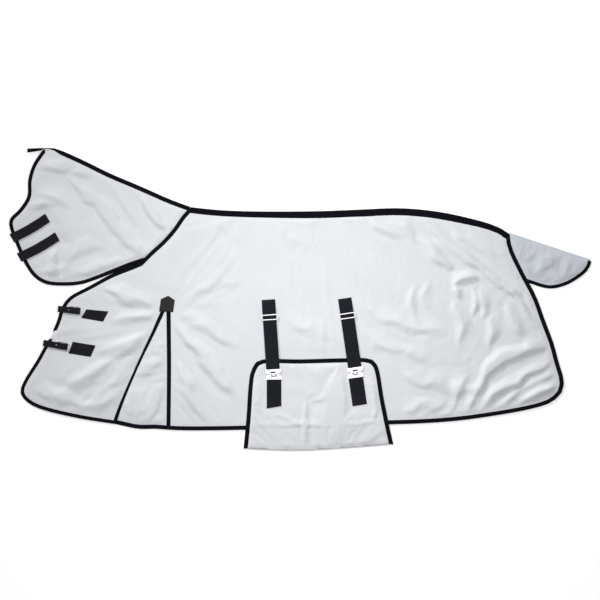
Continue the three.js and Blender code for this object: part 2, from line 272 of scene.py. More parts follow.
def box_mask(x, y, centre, turn, half, fade):
    """1 inside a turned rectangle, falling to 0 outside it."""
    c, s = math.cos(math.radians(turn)), math.sin(math.radians(turn))
    u = (x - centre[0]) * c + (y - centre[1]) * s
    v = -(x - centre[0]) * s + (y - centre[1]) * c
    over = np.maximum(np.abs(u) - half[0], np.abs(v) - half[1])
    return 1 - smooth_step(over / fade)


# Folds in the cloth: (points in millimetres, height, half width, how sharp)

BODY_FOLDS = [
    # shoulder to the gusset's apex
    ([(-725, 47), (-660, 12), (-590, -8), (-540, -20)], 10.5, 20, 0.6),
    ([(-700, -10), (-640, -18), (-570, -30)], 4.5, 16, 0.5),
    ([(-521, -50), (-600, -62), (-680, -82)], 7.5, 18, 0.6),
    ([(-566, -137), (-650, -165), (-747, -200)], 7.5, 18, 0.6),
    ([(-560, -110), (-660, -200), (-780, -270), (-888, -355)], 9, 22, 0.5),
    ([(-590, -200), (-680, -280), (-777, -392)], 7.5, 22, 0.5),
    ([(-640, -330), (-720, -380), (-800, -410)], 6, 20, 0.5),
    ([(-980, -330), (-900, -372), (-800, -398)], 7.5, 18, 0.6),
    # behind the slit
    ([(-462, -82), (-420, -150), (-377, -192), (-300, -285), (-222, -374)], 12, 20, 0.7),
    ([(-462, -233), (-425, -300), (-392, -385), (-355, -433)], 10.5, 16, 0.7),
    ([(-462, -300), (-440, -360), (-400, -440)], 6, 14, 0.5),
    ([(-440, -60), (-330, -120), (-240, -160)], 6, 20, 0.4),
    ([(-450, 20), (-330, 60), (-200, 70)], 4.5, 26, 0.3),
    # between and behind the straps
    ([(-60, -60), (20, -110), (100, -130), (140, -150)], 4.5, 22, 0.4),
    ([(230, -20), (330, -80), (420, -105), (520, -118)], 6, 22, 0.5),
    ([(225, -120), (300, -180), (380, -200), (470, -230)], 6, 22, 0.5),
    ([(330, -260), (430, -300), (560, -330), (680, -330)], 6, 26, 0.4),
    # rump
    ([(488, 266), (570, 190), (650, 120), (736, 55)], 12, 22, 0.6),
    ([(448, 226), (500, 165), (562, 100)], 9, 20, 0.6),
    ([(540, 270), (640, 205), (720, 130)], 7.5, 18, 0.6),
    ([(570, 60), (590, 80), (630, 86), (662, 74)], 13.5, 14, 0.9),
    ([(568, 52), (575, 20), (592, 0)], 9, 12, 0.8),
    ([(640, 34), (652, -10), (640, -60)], 9, 12, 0.7),
    ([(668, 30), (680, -15), (672, -70)], 9, 11, 0.7),
    ([(744, 55), (800, 0), (862, -85)], 9, 9, 0.9),
    ([(700, 90), (770, 40), (830, 10)], 7.5, 18, 0.5),
    ([(560, -10), (600, -80), (590, -160)], 7.5, 20, 0.5),
    ([(700, -60), (720, -140), (690, -200)], 7.5, 18, 0.5),
    ([(760, -20), (790, -100), (830, -150), (900, -170)], 7.5, 18, 0.5),
    ([(420, 40), (400, -20), (430, -80)], 6, 16, 0.6),
    ([(470, 60), (450, 0), (470, -40)], 4.5, 14, 0.6),
    # lower rear corner
    ([(618, -414), (680, -300), (729, -229), (814, -196), (925, -170)], 15, 22, 0.7),
    ([(650, -420), (740, -330), (830, -280), (930, -225)], 12, 20, 0.7),
    ([(800, -392), (862, -352), (900, -338), (958, -316)], 17, 15, 0.8),
    ([(720, -400), (800, -350), (880, -300), (950, -280)], 9, 16, 0.7),
    ([(560, -400), (600, -330), (640, -260)], 7.5, 20, 0.5),
    ([(300, -430), (420, -400), (540, -390)], 4.5, 22, 0.4),
    # along the spine
    ([(-330, 300), (-250, 250), (-200, 180)], 4.5, 22, 0.4),
    ([(-100, 300), (-40, 230), (40, 190)], 4.5, 26, 0.3),
    ([(240, 310), (290, 260), (370, 230)], 6, 18, 0.5),
    ([(330, 300), (400, 250), (420, 215)], 6, 16, 0.6),
]

BODY_LOOSE = [
    (860, -300, 230), (700, -330, 200), (640, 30, 180), (600, 180, 160), (-700, -280, 200), (-620, -30, 130),
    (-400, -330, 150), (420, -120, 140), (820, -60, 130),
]

NECK_FOLDS = [
    ([(-850, 432), (-752, 355), (-675, 250), (-581, 155)], 17, 20, 0.7),
    ([(-588, 402), (-548, 310), (-496, 258)], 14, 16, 0.7),
    ([(-905, 195), (-920, 130), (-925, 75)], 11, 11, 0.8),
    ([(-820, 100), (-740, 110), (-640, 145)], 9, 16, 0.6),
    ([(-980, 480), (-880, 490), (-800, 450)], 7.5, 20, 0.5),
    ([(-990, 400), (-900, 380), (-850, 340)], 7.5, 18, 0.5),
    ([(-1010, 330), (-960, 350), (-900, 350)], 6, 16, 0.5),
    ([(-880, 150), (-800, 190), (-720, 190)], 6, 20, 0.4),
    ([(-960, 110), (-900, 100), (-850, 130)], 6, 14, 0.5),
    ([(-900, 520), (-820, 480), (-700, 430)], 6, 16, 0.5),
    ([(-700, 380), (-640, 330), (-600, 270)], 4.5, 18, 0.4),
]

NECK_LOOSE = [(-900, 130, 160), (-720, 260, 150), (-960, 430, 130), (-540, 310, 90)]

GUSSET_FOLDS = [
    ([(-640, -440), (-600, -370), (-560, -330)], 6.4, 16, 0.6),
    ([(-560, -450), (-530, -380), (-505, -300)], 6.4, 14, 0.6),
    ([(-600, -300), (-550, -250), (-510, -230)], 4.8, 16, 0.5),
    ([(-530, -160), (-515, -220), (-510, -260)], 3.2, 12, 0.5),
]

FLAP_FOLDS = [
    ([(242, -290), (262, -345), (283, -400), (272, -445)], 11, 9, 0.9),
    ([(19, -365), (18, -440), (17, -545)], 6, 9, 0.8),
    ([(-150, -260), (-60, -330), (40, -350), (160, -330)], 3, 20, 0.4),
    ([(-180, -468), (-40, -466), (120, -462), (300, -458)], 5, 9, 0.8),
    ([(40, -385), (100, -362), (190, -362)], 6, 9, 0.7),
]

TAIL_FOLDS = [
    ([(800, 200), (880, 150), (960, 120)], 4.5, 20, 0.4),
    ([(850, 70), (900, 120), (950, 160)], 3.8, 16, 0.4),
    ([(960, 70), (990, 110), (1010, 145)], 3.8, 14, 0.5),
    ([(1060, 150), (1035, 115)], 3.8, 8, 0.8),
]


# Meshes

def new_mesh(name, points, faces, uv=None, smooth=True):
    mesh = bpy.data.meshes.new(name)
    mesh.from_pydata([tuple(map(float, p)) for p in points], [], [tuple(map(int, f)) for f in faces])
    mesh.update()
    if uv is not None:
        layer = mesh.uv_layers.new(name="cloth")
        corner = np.zeros(len(mesh.loops), int)
        mesh.loops.foreach_get("vertex_index", corner)
        layer.data.foreach_set("uv", np.asarray(uv, np.float32)[corner].ravel())
    mesh.polygons.foreach_set("use_smooth", [smooth] * len(mesh.polygons))
    obj = bpy.data.objects.new(name, mesh)
    bpy.context.scene.collection.objects.link(obj)
    return obj


def points_of(obj):
    flat = np.zeros(len(obj.data.vertices) * 3, np.float32)
    obj.data.vertices.foreach_get("co", flat)
    return flat.reshape(-1, 3)


def move_points(obj, points):
    obj.data.vertices.foreach_set("co", np.asarray(points, np.float32).ravel())
    obj.data.update()


def joined(name, parts):
    """One object made of several."""
    points, faces = [], []
    for part in parts:
        first = len(points)
        points += [tuple(v.co) for v in part.data.vertices]
        faces += [tuple(first + i for i in face.vertices) for face in part.data.polygons]
        bpy.data.objects.remove(part)
    return new_mesh(name, points, faces)


def filled(loop, spacing, seed):
    """Points and triangles that fill an anticlockwise loop, about that far apart."""
    edge = subdivided(loop, spacing)
    count = len(edge)
    low, high = loop.min(axis=0), loop.max(axis=0)
    rows = np.arange(low[1], high[1], spacing * 0.866)
    columns = np.arange(low[0], high[0], spacing)
    gx, gy = np.meshgrid(columns, rows)
    gx = gx + (np.arange(len(rows)) % 2)[:, None] * spacing / 2
    jitter = np.random.RandomState(seed).uniform(-0.12, 0.12, (2,) + gx.shape) * spacing
    gx, gy = (gx + jitter[0]).ravel(), (gy + jitter[1]).ravel()
    within = inside(edge, gx, gy)
    gx, gy = gx[within], gy[within]
    clear, _, _ = distance_to(closed(edge), gx, gy)
    gx, gy = gx[clear > 0.55 * spacing], gy[clear > 0.55 * spacing]
    points = np.concatenate([edge, np.stack([gx, gy], axis=1)])
    sides = [(i, (i + 1) % count) for i in range(count)]
    made = delaunay_2d_cdt([Vector(p) for p in points], sides, [list(range(count))], 1, 1e-7)
    return np.array([(v.x, v.y) for v in made[0]]), made[2]


def solidified(obj, thickness, offset=0.0):
    modifier = obj.modifiers.new("thickness", "SOLIDIFY")
    modifier.thickness = thickness
    modifier.offset = offset
    return obj


def surface(obj):
    """A function that gives the height of a piece at any place, for what lies on it."""
    points = points_of(obj)
    tree = BVHTree.FromPolygons([Vector(p) for p in points.tolist()],
                                [tuple(face.vertices) for face in obj.data.polygons])
    middle = float(points[:, 2].mean())

    def height(x, y):
        z = np.empty(len(x))
        for i, (px, py) in enumerate(zip(x, y)):
            hit = tree.ray_cast(Vector((px, py, 1)), Vector((0, 0, -1)))[0]
            if hit is None:
                hit = tree.find_nearest(Vector((px, py, middle)))[0]
            z[i] = hit.z
        return z
    return height


def settle(obj, pinned, floor, growth, slack):
    """Lets a sheet with a little spare cloth settle on what is under it. Pinned points stay in place.
    growth is the least and the most spare cloth, as a share of its length, and slack says where, from
    0 to 1."""
    loose = obj.vertex_groups.new(name="loose")
    for i, amount in enumerate(slack):
        loose.add([i], float(amount), "REPLACE")
    group = obj.vertex_groups.new(name="pinned")
    group.add([int(i) for i in np.flatnonzero(pinned)], 1.0, "REPLACE")
    start = points_of(obj)
    low, high = start.min(axis=0) - 0.05, start.max(axis=0) + 0.05
    columns = np.linspace(low[0], high[0], 2 + int((high[0] - low[0]) / 0.02))
    rows = np.linspace(low[1], high[1], 2 + int((high[1] - low[1]) / 0.02))
    gx, gy = (a.ravel() for a in np.meshgrid(columns, rows))
    wide = len(columns)
    faces = [(j * wide + i, j * wide + i + 1, (j + 1) * wide + i + 1, (j + 1) * wide + i)
             for j in range(len(rows) - 1) for i in range(wide - 1)]
    under = new_mesh("settling_floor", np.column_stack([gx, gy, floor(gx, gy)]), faces)
    under.modifiers.new("floor", "COLLISION")
    under.collision.thickness_outer = 0.6 * MM
    under.collision.thickness_inner = 20 * MM

    modifier = obj.modifiers.new("settle", "CLOTH")
    cloth = modifier.settings
    cloth.quality = 6
    cloth.mass = 0.001
    cloth.tension_stiffness = cloth.compression_stiffness = 12
    cloth.shear_stiffness = 4
    cloth.bending_stiffness = 0.02
    cloth.tension_damping = cloth.compression_damping = cloth.shear_damping = 4
    cloth.bending_damping = 0.5
    cloth.air_damping = 2
    cloth.vertex_group_mass = "pinned"
    cloth.vertex_group_shrink = "loose"
    cloth.shrink_min, cloth.shrink_max = -growth[0], -growth[1]
    modifier.collision_settings.distance_min = 0.6 * MM
    modifier.collision_settings.collision_quality = 2
    modifier.point_cache.frame_start = 1
    modifier.point_cache.frame_end = SETTLING_FRAMES
    scene = bpy.context.scene
    for moment in range(1, SETTLING_FRAMES + 1):
        scene.frame_set(moment)
    settled = obj.evaluated_get(bpy.context.evaluated_depsgraph_get())
    after = np.zeros(len(start) * 3, np.float32)
    settled.data.vertices.foreach_get("co", after)
    obj.modifiers.remove(modifier)
    obj.vertex_groups.clear()
    bpy.data.objects.remove(under)
    scene.frame_set(1)
    move_points(obj, after.reshape(-1, 3))


def strip(name, stations, along, widths, shares):
    """A closed strip. Stations is an array (length, section, 3) of points round each cross-section, and
    shares says how far across its width each point of a cross-section is."""
    count, around, _ = stations.shape
    faces = []
    for i in range(count - 1):
        for j in range(around):
            a, b = i * around + j, i * around + (j + 1) % around
            faces.append((a, b, b + around, a + around))
    faces.append(tuple(range(around - 1, -1, -1)))
    faces.append(tuple((count - 1) * around + j for j in range(around)))
    uv = np.stack([np.repeat(along, around), (widths[:, None] * shares[None, :]).ravel()], axis=1)
    obj = new_mesh(name, stations.reshape(-1, 3), faces, uv=uv)
    for cap in list(obj.data.polygons)[-2:]:
        cap.use_smooth = False
    return obj


SECTION = [(0.0, 0.0), (0.03, 0.75), (0.12, 1.0), (0.88, 1.0), (0.97, 0.75), (1.0, 0.0),
           (0.97, -0.75), (0.88, -1.0), (0.12, -1.0), (0.03, -0.75)]


def tape(name, node, panel, height, spacing=9 * MM, bottom=None, overlap=OVERLAP, outer_in=None,
         inner_in=None, sink=None):
    """Binding folded round an edge. Its top lies on the cloth, and its bottom under it or at a given level.
    outer_in and inner_in say by what share of its width each side is drawn in at a place, and sink how far
    it is lowered there."""
    outer, inner = tape_sides(node, panel)
    count = max(4, int(measured(outer)[-1] / spacing))
    outer, inner = resampled(outer, count), resampled(inner, count)
    width = inner - outer
    inner = inner + unit(width) * overlap
    drop = sink(*outer.T) if sink else np.zeros(count)
    if outer_in:
        outer = outer + width * outer_in(*outer.T)[:, None]
    if inner_in:
        inner = inner - width * inner_in(*inner.T)[:, None]
    stations = np.empty((count, len(SECTION), 3))
    half = TAPE / 2
    for j, (across, side) in enumerate(SECTION):
        place = outer * (1 - across) + inner * across
        z = height(place[:, 0], place[:, 1]) - drop
        if bottom is None:
            level = z + side * half
        else:
            level = (z + half + bottom) / 2 + side * (z + half - bottom) / 2
        stations[:, j] = np.column_stack([place, level])
    from_inner = np.array([1 - share for share, _ in SECTION])
    if np.cross(np.append(outer[1] - outer[0], 0), np.append(inner[0] - outer[0], 0))[2] < 0:
        stations = stations[:, ::-1]
        from_inner = from_inner[::-1]
    return strip(name, stations, measured(outer), np.linalg.norm(inner - outer, axis=1), from_inner)


def ribbon(name, centre, across, width, thickness=WEBBING, slant=0.0):
    """Flat webbing along a line of (x, y, z) points. Across is the plan direction of its width.
    slant is how much longer its left side is than its right side."""
    centre = np.asarray(centre, float)
    across = np.append(unit(np.asarray(across, float)), 0)
    run = unit(np.gradient(centre, axis=0))
    up = unit(np.cross(run, across))
    along = measured(centre)
    lean = slant * smooth_step(along / along[-1] * 3 - 2)
    stations = np.empty((len(centre), len(SECTION), 3))
    for j, (share, side) in enumerate(SECTION):
        sideways = (share - 0.5) * (width * across + lean[:, None] * run)
        stations[:, j] = centre + sideways + side * thickness / 2 * up
    shares = np.array([share for share, _ in SECTION])
    return strip(name, stations, along, np.full(len(centre), width), shares)


def rod(name, path, width, height=None, ring=False, up=(0, 0, 1), around=10):
    """A bar with an oval section along a path of (x, y, z) points."""
    path = np.asarray(path, float)
    height = height or width
    if ring:
        run = unit(np.roll(path, -1, axis=0) - np.roll(path, 1, axis=0))
    else:
        run = unit(np.gradient(path, axis=0))
    side = unit(np.cross(run, up))
    top = np.cross(side, run)
    turn = np.linspace(0, 2 * math.pi, around, endpoint=False)
    section = (side[:, None] * np.cos(turn)[:, None] * width / 2
               + top[:, None] * np.sin(turn)[:, None] * height / 2)
    points = (path[:, None] + section).reshape(-1, 3)
    count = len(path)
    faces = []
    for i in range(count if ring else count - 1):
        for j in range(around):
            k, after = (j + 1) % around, (i + 1) % count
            faces.append((i * around + j, after * around + j, after * around + k, i * around + k))
    if not ring:
        faces.append(tuple(range(around)))
        faces.append(tuple((count - 1) * around + j for j in reversed(range(around))))
    return new_mesh(name, points, faces)


def rounded(half_u, half_v, radius, steps=5):
    """A rounded rectangle's corners as (u, v), anticlockwise."""
    corners = []
    for k, (su, sv) in enumerate(((1, 1), (-1, 1), (-1, -1), (1, -1))):
        for t in np.linspace(0, math.pi / 2, steps) + k * math.pi / 2:
            corners.append((su * (half_u - radius) + radius * math.cos(t),
                            sv * (half_v - radius) + radius * math.sin(t)))
    return np.array(corners)


def plate(name, loops, level, thickness, rim=0.4 * MM):
    """A pressed plate with rounded edges. The first loop is its outline, and the others are its holes."""
    curve = bpy.data.curves.new(name, "CURVE")
    curve.dimensions = "2D"
    curve.fill_mode = "BOTH"
    curve.extrude = thickness / 2 - rim
    curve.bevel_depth = rim
    curve.bevel_resolution = 2
    curve.offset = -rim
    for loop in loops:
        line = curve.splines.new("POLY")
        line.points.add(len(loop) - 1)
        for point, (x, y) in zip(line.points, loop):
            point.co = (x, y, 0, 1)
        line.use_cyclic_u = True
    shape = bpy.data.objects.new(name + "_outline", curve)
    bpy.context.scene.collection.objects.link(shape)
    bpy.context.view_layer.update()
    mesh = bpy.data.meshes.new_from_object(shape.evaluated_get(bpy.context.evaluated_depsgraph_get()))
    bpy.data.objects.remove(shape)
    points = [(v.co.x, v.co.y, v.co.z + level) for v in mesh.vertices]
    faces = [tuple(face.vertices) for face in mesh.polygons]
    return new_mesh(name, points, faces, smooth=False)


def patch(name, loop, height, rise, thickness, spacing=4 * MM):
    """A flat sewn piece over a surface, with its edges pressed down."""
    plan, faces = filled(loop, spacing, 5)
    inward, _, _ = distance_to(closed(loop), plan[:, 0], plan[:, 1])
    press = 1 - smooth_step(inward / (2.5 * MM))
    z = height(plan[:, 0], plan[:, 1]) + rise - 0.35 * thickness * press
    obj = new_mesh(name, np.column_stack([plan, z]), faces, uv=plan)
    return solidified(obj, thickness, offset=-1.0)


def stitches(name, lines, height, rise, pitch=3.4 * MM, length=2.4 * MM, thick=0.7 * MM):
    """A row of stitches along each line of (x, y) points, on a surface."""
    points, faces = [], []
    for line in lines:
        line = np.asarray(line, float)
        total = measured(line)[-1]
        count = max(2, int(total / pitch) + 1)
        places = resampled(line, count)
        runs = unit(np.gradient(places, axis=0))
        levels = height(places[:, 0], places[:, 1]) + rise
        for (x, y), run, z in zip(places, runs, levels):
            side = left_of(run)
            first = len(points)
            for share, size in ((-0.5, 0.3), (-0.3, 1.0), (0.3, 1.0), (0.5, 0.3)):
                centre = np.array([x, y]) + run * length * share
                for k in range(6):
                    turn = k * math.pi / 3
                    place = centre + side * math.cos(turn) * thick / 2 * size
                    points.append((*place, z + math.sin(turn) * thick / 2 * size))
            for ring in range(3):
                for k in range(6):
                    a, b = first + ring * 6 + k, first + ring * 6 + (k + 1) % 6
                    faces.append((a, b, b + 6, a + 6))
            faces.append(tuple(first + k for k in reversed(range(6))))
            faces.append(tuple(first + 18 + k for k in range(6)))
    return new_mesh(name, points, faces)


def sewn(name, lines, level, body, rise=0.1 * MM):
    finish_piece(stitches(name, lines, level_at(level), rise), thread, body)


def box_and_cross(lie, u0, u1, half):
    """A sewn box with its diagonals, as lines."""
    corners = [lie.at(u0, -half), lie.at(u1, -half), lie.at(u1, half), lie.at(u0, half)]
    box = [np.array([corners[k], corners[(k + 1) % 4]]) for k in range(4)]
    return box + [np.array([corners[0], corners[2]]), np.array([corners[1], corners[3]])]


def inset_lines(loop, distance):
    """The sides of a loop, moved inwards."""
    inner = grown(loop, -distance)
    return [np.array([inner[k], inner[(k + 1) % len(inner)]]) for k in range(len(inner))]


def level_at(z):
    return lambda x, y: np.full(np.shape(x), z)


def finish_piece(obj, finish, body=None, replaces=()):
    """Gives a piece the material of its finish, the body that carries it, and the nodes that it replaces."""
    look, slot = finish
    obj.data.materials.clear()
    obj.data.materials.append(look)
    if body:
        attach(obj, body)
    if replaces:
        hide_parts(*replaces)
    return obj


# Materials

def material(name, colour, roughness, metallic=0.0, sheen=0.0, specular=0.5):
    made = bpy.data.materials.new(name)
    made.use_nodes = True
    shader = made.node_tree.nodes["Principled BSDF"]
    shader.inputs["Base Color"].default_value = (*colour, 1)
    shader.inputs["Roughness"].default_value = roughness
    shader.inputs["Metallic"].default_value = metallic
    shader.inputs["Sheen Weight"].default_value = sheen
    shader.inputs["Specular IOR Level"].default_value = specular
    return made, made.node_tree, shader


def node(tree, kind, **values):
    made = tree.nodes.new(kind)
    for key, value in values.items():
        if key in made.inputs:
            made.inputs[key].default_value = value
        else:
            setattr(made, key, value)
    return made


def cloth_material(name, colour, shadow, weave, roughness, sheen):
    """Fine woven cloth: a close weave in the surface, and a colour that drifts a little."""
    made, tree, shader = material(name, colour, roughness, sheen=sheen)
    link = tree.links.new
    place = node(tree, "ShaderNodeTexCoord")
    drift = node(tree, "ShaderNodeTexNoise", Scale=9.0, Detail=5.0)
    ramp = node(tree, "ShaderNodeValToRGB")
    ramp.color_ramp.elements[0].position = 0.3
    ramp.color_ramp.elements[0].color = (*shadow, 1)
    ramp.color_ramp.elements[1].position = 0.7
    ramp.color_ramp.elements[1].color = (*colour, 1)
    link(place.outputs["Object"], drift.inputs["Vector"])
    link(drift.outputs["Fac"], ramp.inputs["Fac"])
    link(ramp.outputs["Color"], shader.inputs["Base Color"])
    threads = []
    for direction in ("X", "Y"):
        wave = node(tree, "ShaderNodeTexWave", wave_type="BANDS", bands_direction=direction,
                    Scale=weave, Distortion=0.4, Detail=1.0)
        link(place.outputs["Object"], wave.inputs["Vector"])
        threads.append(wave)
    mix = node(tree, "ShaderNodeMath", operation="MULTIPLY")
    link(threads[0].outputs["Fac"], mix.inputs[0])
    link(threads[1].outputs["Fac"], mix.inputs[1])
    bump = node(tree, "ShaderNodeBump", Strength=0.12, Distance=0.0003)
    link(mix.outputs[0], bump.inputs["Height"])
    link(bump.outputs["Normal"], shader.inputs["Normal"])
    return made


def maths(tree, operation, *values):
    """A Math node's result. Each value is a number or another node's output."""
    made = node(tree, "ShaderNodeMath", operation=operation)
    for socket, value in zip(made.inputs, values):
        if isinstance(value, float):
            socket.default_value = value
        else:
            tree.links.new(value, socket)
    return made.outputs[0]


def texture(tree, kind, place, **values):
    made = node(tree, kind, **values)
    tree.links.new(place, made.inputs["Vector"])
    return made


def bumped(tree, shader, height, strength, distance):
    bump = node(tree, "ShaderNodeBump", Strength=strength, Distance=distance)
    tree.links.new(height, bump.inputs["Height"])
    tree.links.new(bump.outputs["Normal"], shader.inputs["Normal"])


def stitch_row(tree, uv, from_side, pitch):
    """A mask of dashes along a tape, that far from its side."""
    split = texture(tree, "ShaderNodeSeparateXYZ", uv)
    share = maths(tree, "FRACT", maths(tree, "DIVIDE", split.outputs["X"], pitch))
    dash = maths(tree, "LESS_THAN", share, 0.65)
    row = maths(tree, "COMPARE", split.outputs["Y"], from_side, 0.45 * MM)
    return maths(tree, "MULTIPLY", dash, row)


def webbing_material(name, colour, edge, rib, roughness, gloss):
    """Ribbed tape or webbing: ribs across it, and a row of stitches near one side."""
    made, tree, shader = material(name, colour, roughness, sheen=0.01, specular=gloss)
    link = tree.links.new
    uv = node(tree, "ShaderNodeUVMap", uv_map="cloth").outputs["UV"]
    wave = texture(tree, "ShaderNodeTexWave", uv, wave_type="BANDS", bands_direction="X", Scale=rib,
                   Distortion=0.3)
    twill = texture(tree, "ShaderNodeTexWave", uv, wave_type="BANDS", bands_direction="DIAGONAL",
                    Scale=rib * 0.6, Distortion=0.5)
    noise = texture(tree, "ShaderNodeTexNoise", uv, Scale=60.0, Detail=4.0)
    colours = node(tree, "ShaderNodeMix", data_type="RGBA")
    colours.inputs["A"].default_value = (*edge, 1)
    colours.inputs["B"].default_value = (*colour, 1)
    link(twill.outputs["Fac"], colours.inputs["Factor"])
    mask = stitch_row(tree, uv, 2.2 * MM, 4 * MM)
    with_thread = node(tree, "ShaderNodeMix", data_type="RGBA")
    with_thread.inputs["B"].default_value = (0.04, 0.041, 0.05, 1)
    link(colours.outputs["Result"], with_thread.inputs["A"])
    link(mask, with_thread.inputs["Factor"])
    link(with_thread.outputs["Result"], shader.inputs["Base Color"])
    ribs = maths(tree, "ADD", wave.outputs["Fac"], noise.outputs["Fac"])
    bumped(tree, shader, maths(tree, "ADD", ribs, mask), 0.4, 0.0005)
    return made


def leather_material():
    made, tree, shader = material("leather_patch", (0.022, 0.022, 0.023), 0.6, specular=0.2)
    place = node(tree, "ShaderNodeTexCoord").outputs["Object"]
    grain = texture(tree, "ShaderNodeTexVoronoi", place, Scale=700.0)
    bumped(tree, shader, grain.outputs["Distance"], 0.4, 0.0004)
    return made


def steel_material():
    made, tree, shader = material("steel", (0.86, 0.87, 0.89), 0.36, metallic=1.0)
    place = node(tree, "ShaderNodeTexCoord").outputs["Object"]
    scratches = texture(tree, "ShaderNodeTexNoise", place, Scale=300.0, Detail=6.0)
    bumped(tree, shader, scratches.outputs["Fac"], 0.02, 0.0002)
    return made


# Each finish is a material and its slot.
mesh_cloth = (cloth_material("mesh_cloth", (0.80, 0.815, 0.845), (0.755, 0.772, 0.81), 260, 0.62, 0.25),
              "mesh_cloth")
satin_cloth = (cloth_material("satin_cloth", (0.69, 0.72, 0.775), (0.60, 0.635, 0.69), 420, 0.42, 0.2),
               "satin_cloth")
binding = (webbing_material("binding", (0.006, 0.007, 0.012), (0.002, 0.002, 0.004), 330, 0.75, 0.06),
           "binding")
webbing = (webbing_material("webbing", (0.016, 0.017, 0.026), (0.006, 0.006, 0.010), 260, 0.7, 0.12),
           "webbing")
leather = (leather_material(), "leather_patch")
steel = (steel_material(), "steel")
thread = (material("thread", (0.03, 0.031, 0.04), 0.5)[0], "binding")
loops = (webbing_material("loops", (0.02, 0.021, 0.026), (0.012, 0.012, 0.016), 700, 0.95, 0.1), "webbing")


# Camera, light and floor

def camera_light_floor():
    picture_width = 2.22
    distance = 7.0
    data = bpy.data.cameras.new("camera")
    data.sensor_width = 36
    data.lens = data.sensor_width * distance / picture_width
    camera = bpy.data.objects.new("camera", data)
    camera.location = (0, -0.0037, distance)
    bpy.context.scene.collection.objects.link(camera)
    bpy.context.scene.camera = camera

    world = bpy.data.worlds.new("studio")
    world.use_nodes = True
    world.node_tree.nodes["Background"].inputs["Color"].default_value = (1, 1, 1, 1)
    world.node_tree.nodes["Background"].inputs["Strength"].default_value = 0.33
    bpy.context.scene.world = world
    bpy.context.scene.view_settings.view_transform = "Standard"

    key = bpy.data.lights.new("key", "AREA")
    key.size = 1.2
    key.energy = 9.8
    graze = bpy.data.lights.new("graze", "SUN")
    graze.energy = 1.5
    graze.angle = math.radians(8)
    for light, place in ((key, (0.0, 0.22, 1.15)), (graze, (-0.9, 1.2, 0.66))):
        lamp = bpy.data.objects.new(light.name, light)
        lamp.location = place
        lamp.rotation_euler = (-Vector(place)).to_track_quat("-Z", "Y").to_euler()
        bpy.context.scene.collection.objects.link(lamp)

    floor = new_mesh("floor", [(-6, -6, 0), (6, -6, 0), (6, 6, 0), (-6, 6, 0)], [(0, 1, 2, 3)], smooth=False)
    white, _, shader = material("floor", (0.95, 0.95, 0.95), 0.9, specular=0.0)
    shader.inputs["Emission Color"].default_value = (1, 1, 1, 1)
    shader.inputs["Emission Strength"].default_value = 0.4
    floor.data.materials.append(white)


camera_light_floor()


# Cloth

def slack_at(places, x, y):
    """How loose the cloth is, from 0 to 1: (x, y, radius) in millimetres for each loose place."""
    total = np.zeros(x.shape)
    for px, py, radius in places:
        gap = np.hypot(x - px * MM, y - py * MM) / (radius * MM)
        total = np.maximum(total, np.exp(-gap * gap))
    return total


def depth_in(panel, x, y):
    """How far inside a panel each place is, and 0 outside it."""
    return np.where(inside(panel, x, y), distance_to(closed(panel), x, y)[0], 0)


def cloth(name, node, base, folds, seed, floor=None, growth=(0.003, 0.012), loose=(), spacing=FINE,
          presses=(), top=HIGHEST, overhang=None):
    """A sheet over the outline of a panel that runs in under its bindings. Where it has a floor, it
    settles, and then a share of each drawn fold is added back. top is as high as it may rise, and
    overhang says how much further out it reaches at a place."""
    panel = node_outline(node)
    reach = UNDER_BINDING + (overhang(*panel.T) if overhang else 0)
    plan, faces = filled(grown(panel, reach), spacing, seed)
    x, y = plan[:, 0], plan[:, 1]
    inward = depth_in(panel, x, y)
    relief = fold_height(folds, x, y, seed * 50) + rumple(x, y, seed * 50 + 40)
    z = base(x, y) + np.maximum(relief, -0.5 * MM) * smooth_step(inward / 0.05)
    obj = new_mesh(name, np.column_stack([plan, z]), faces, uv=plan)
    if floor:
        settle(obj, inward < 2 * MM, floor, growth, slack_at(loose, x, y))
    points = points_of(obj)
    x, y, z = points.T
    inward = depth_in(panel, x, y)
    kept = np.maximum(fold_height(folds, x, y, seed * 50), -2 * MM)
    z = z + KEPT * kept * smooth_step(inward / 0.04)
    for centre, turn, half, level, keep in presses:
        mask = box_mask(x, y, centre, turn, half, 0.04)
        z = z * (1 - mask) + (level + keep * (z - level)) * mask
    sewn_down = base(x, y) + 0.25 * MM + 0.5 * np.maximum(inward - 5 * MM, 0)
    points[:, 2] = np.minimum(z, np.minimum(top, sewn_down))
    move_points(obj, points)
    return obj


def angle_of(direction):
    return math.degrees(math.atan2(direction[1], direction[0]))


def mid_height(node):
    low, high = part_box(node)
    return (low.z + high.z) / 2


def middle(node):
    low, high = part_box(node)
    return np.array([(low.x + high.x) / 2, (low.y + high.y) / 2])


SURCINGLES = {}
for place in ("front", "rear"):
    SURCINGLES[place] = {
        "strap": Lie(f"surcingle_{place}_strap", np.array([0, -1])),
        "tab": Lie(f"surcingle_{place}_tab", np.array([0, -1])),
        "slider": middle(f"surcingle_{place}_slider"),
    }
CHEST = {place: Lie(f"chest_strap_{place}", np.array([1, 0])) for place in ("upper", "lower")}
NECK = {place: Lie(f"neck_strap_{place}", np.array([1, 0])) for place in ("upper", "lower")}

HARDWARE_LEVEL = 6.4 * MM       # the near cloth under a patch or buckle
CORRIDOR_LEVEL = 7.4 * MM       # and under a surcingle


